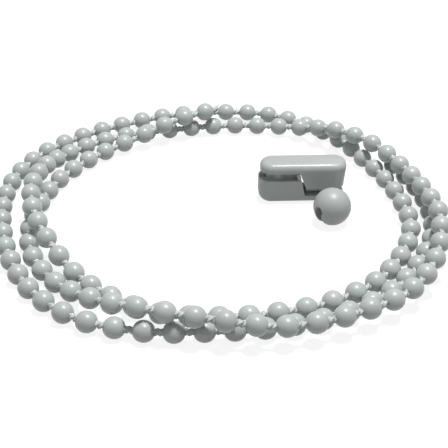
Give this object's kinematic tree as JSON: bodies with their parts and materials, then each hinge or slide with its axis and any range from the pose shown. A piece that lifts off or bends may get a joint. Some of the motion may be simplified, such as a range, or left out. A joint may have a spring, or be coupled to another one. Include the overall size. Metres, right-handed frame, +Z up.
{
  "type": "roller blind chain",
  "caption": "Coiled pull chain for a roller blind: plastic beads on a cord, with its snap-together end connector and a round stop ball.",
  "frame": {"origin": "on the surface that the chain lies on, under the middle of the coil", "axes": "+Z up from the surface, +X to the right along the connector's length, +Y away from the picture's camera"},
  "size_m": [0.1054, 0.1079, 0.0103],
  "materials": {
    "bead_plastic": "satin moulded plastic, light grey",
    "fitting_plastic": "satin moulded plastic, light grey"
  },
  "bodies": {
    "root": {"bead_chain": "bead_plastic", "connector_base": "fitting_plastic", "connector_cap": "fitting_plastic", "stop_ball": "fitting_plastic"}
  },
  "joints": []
}
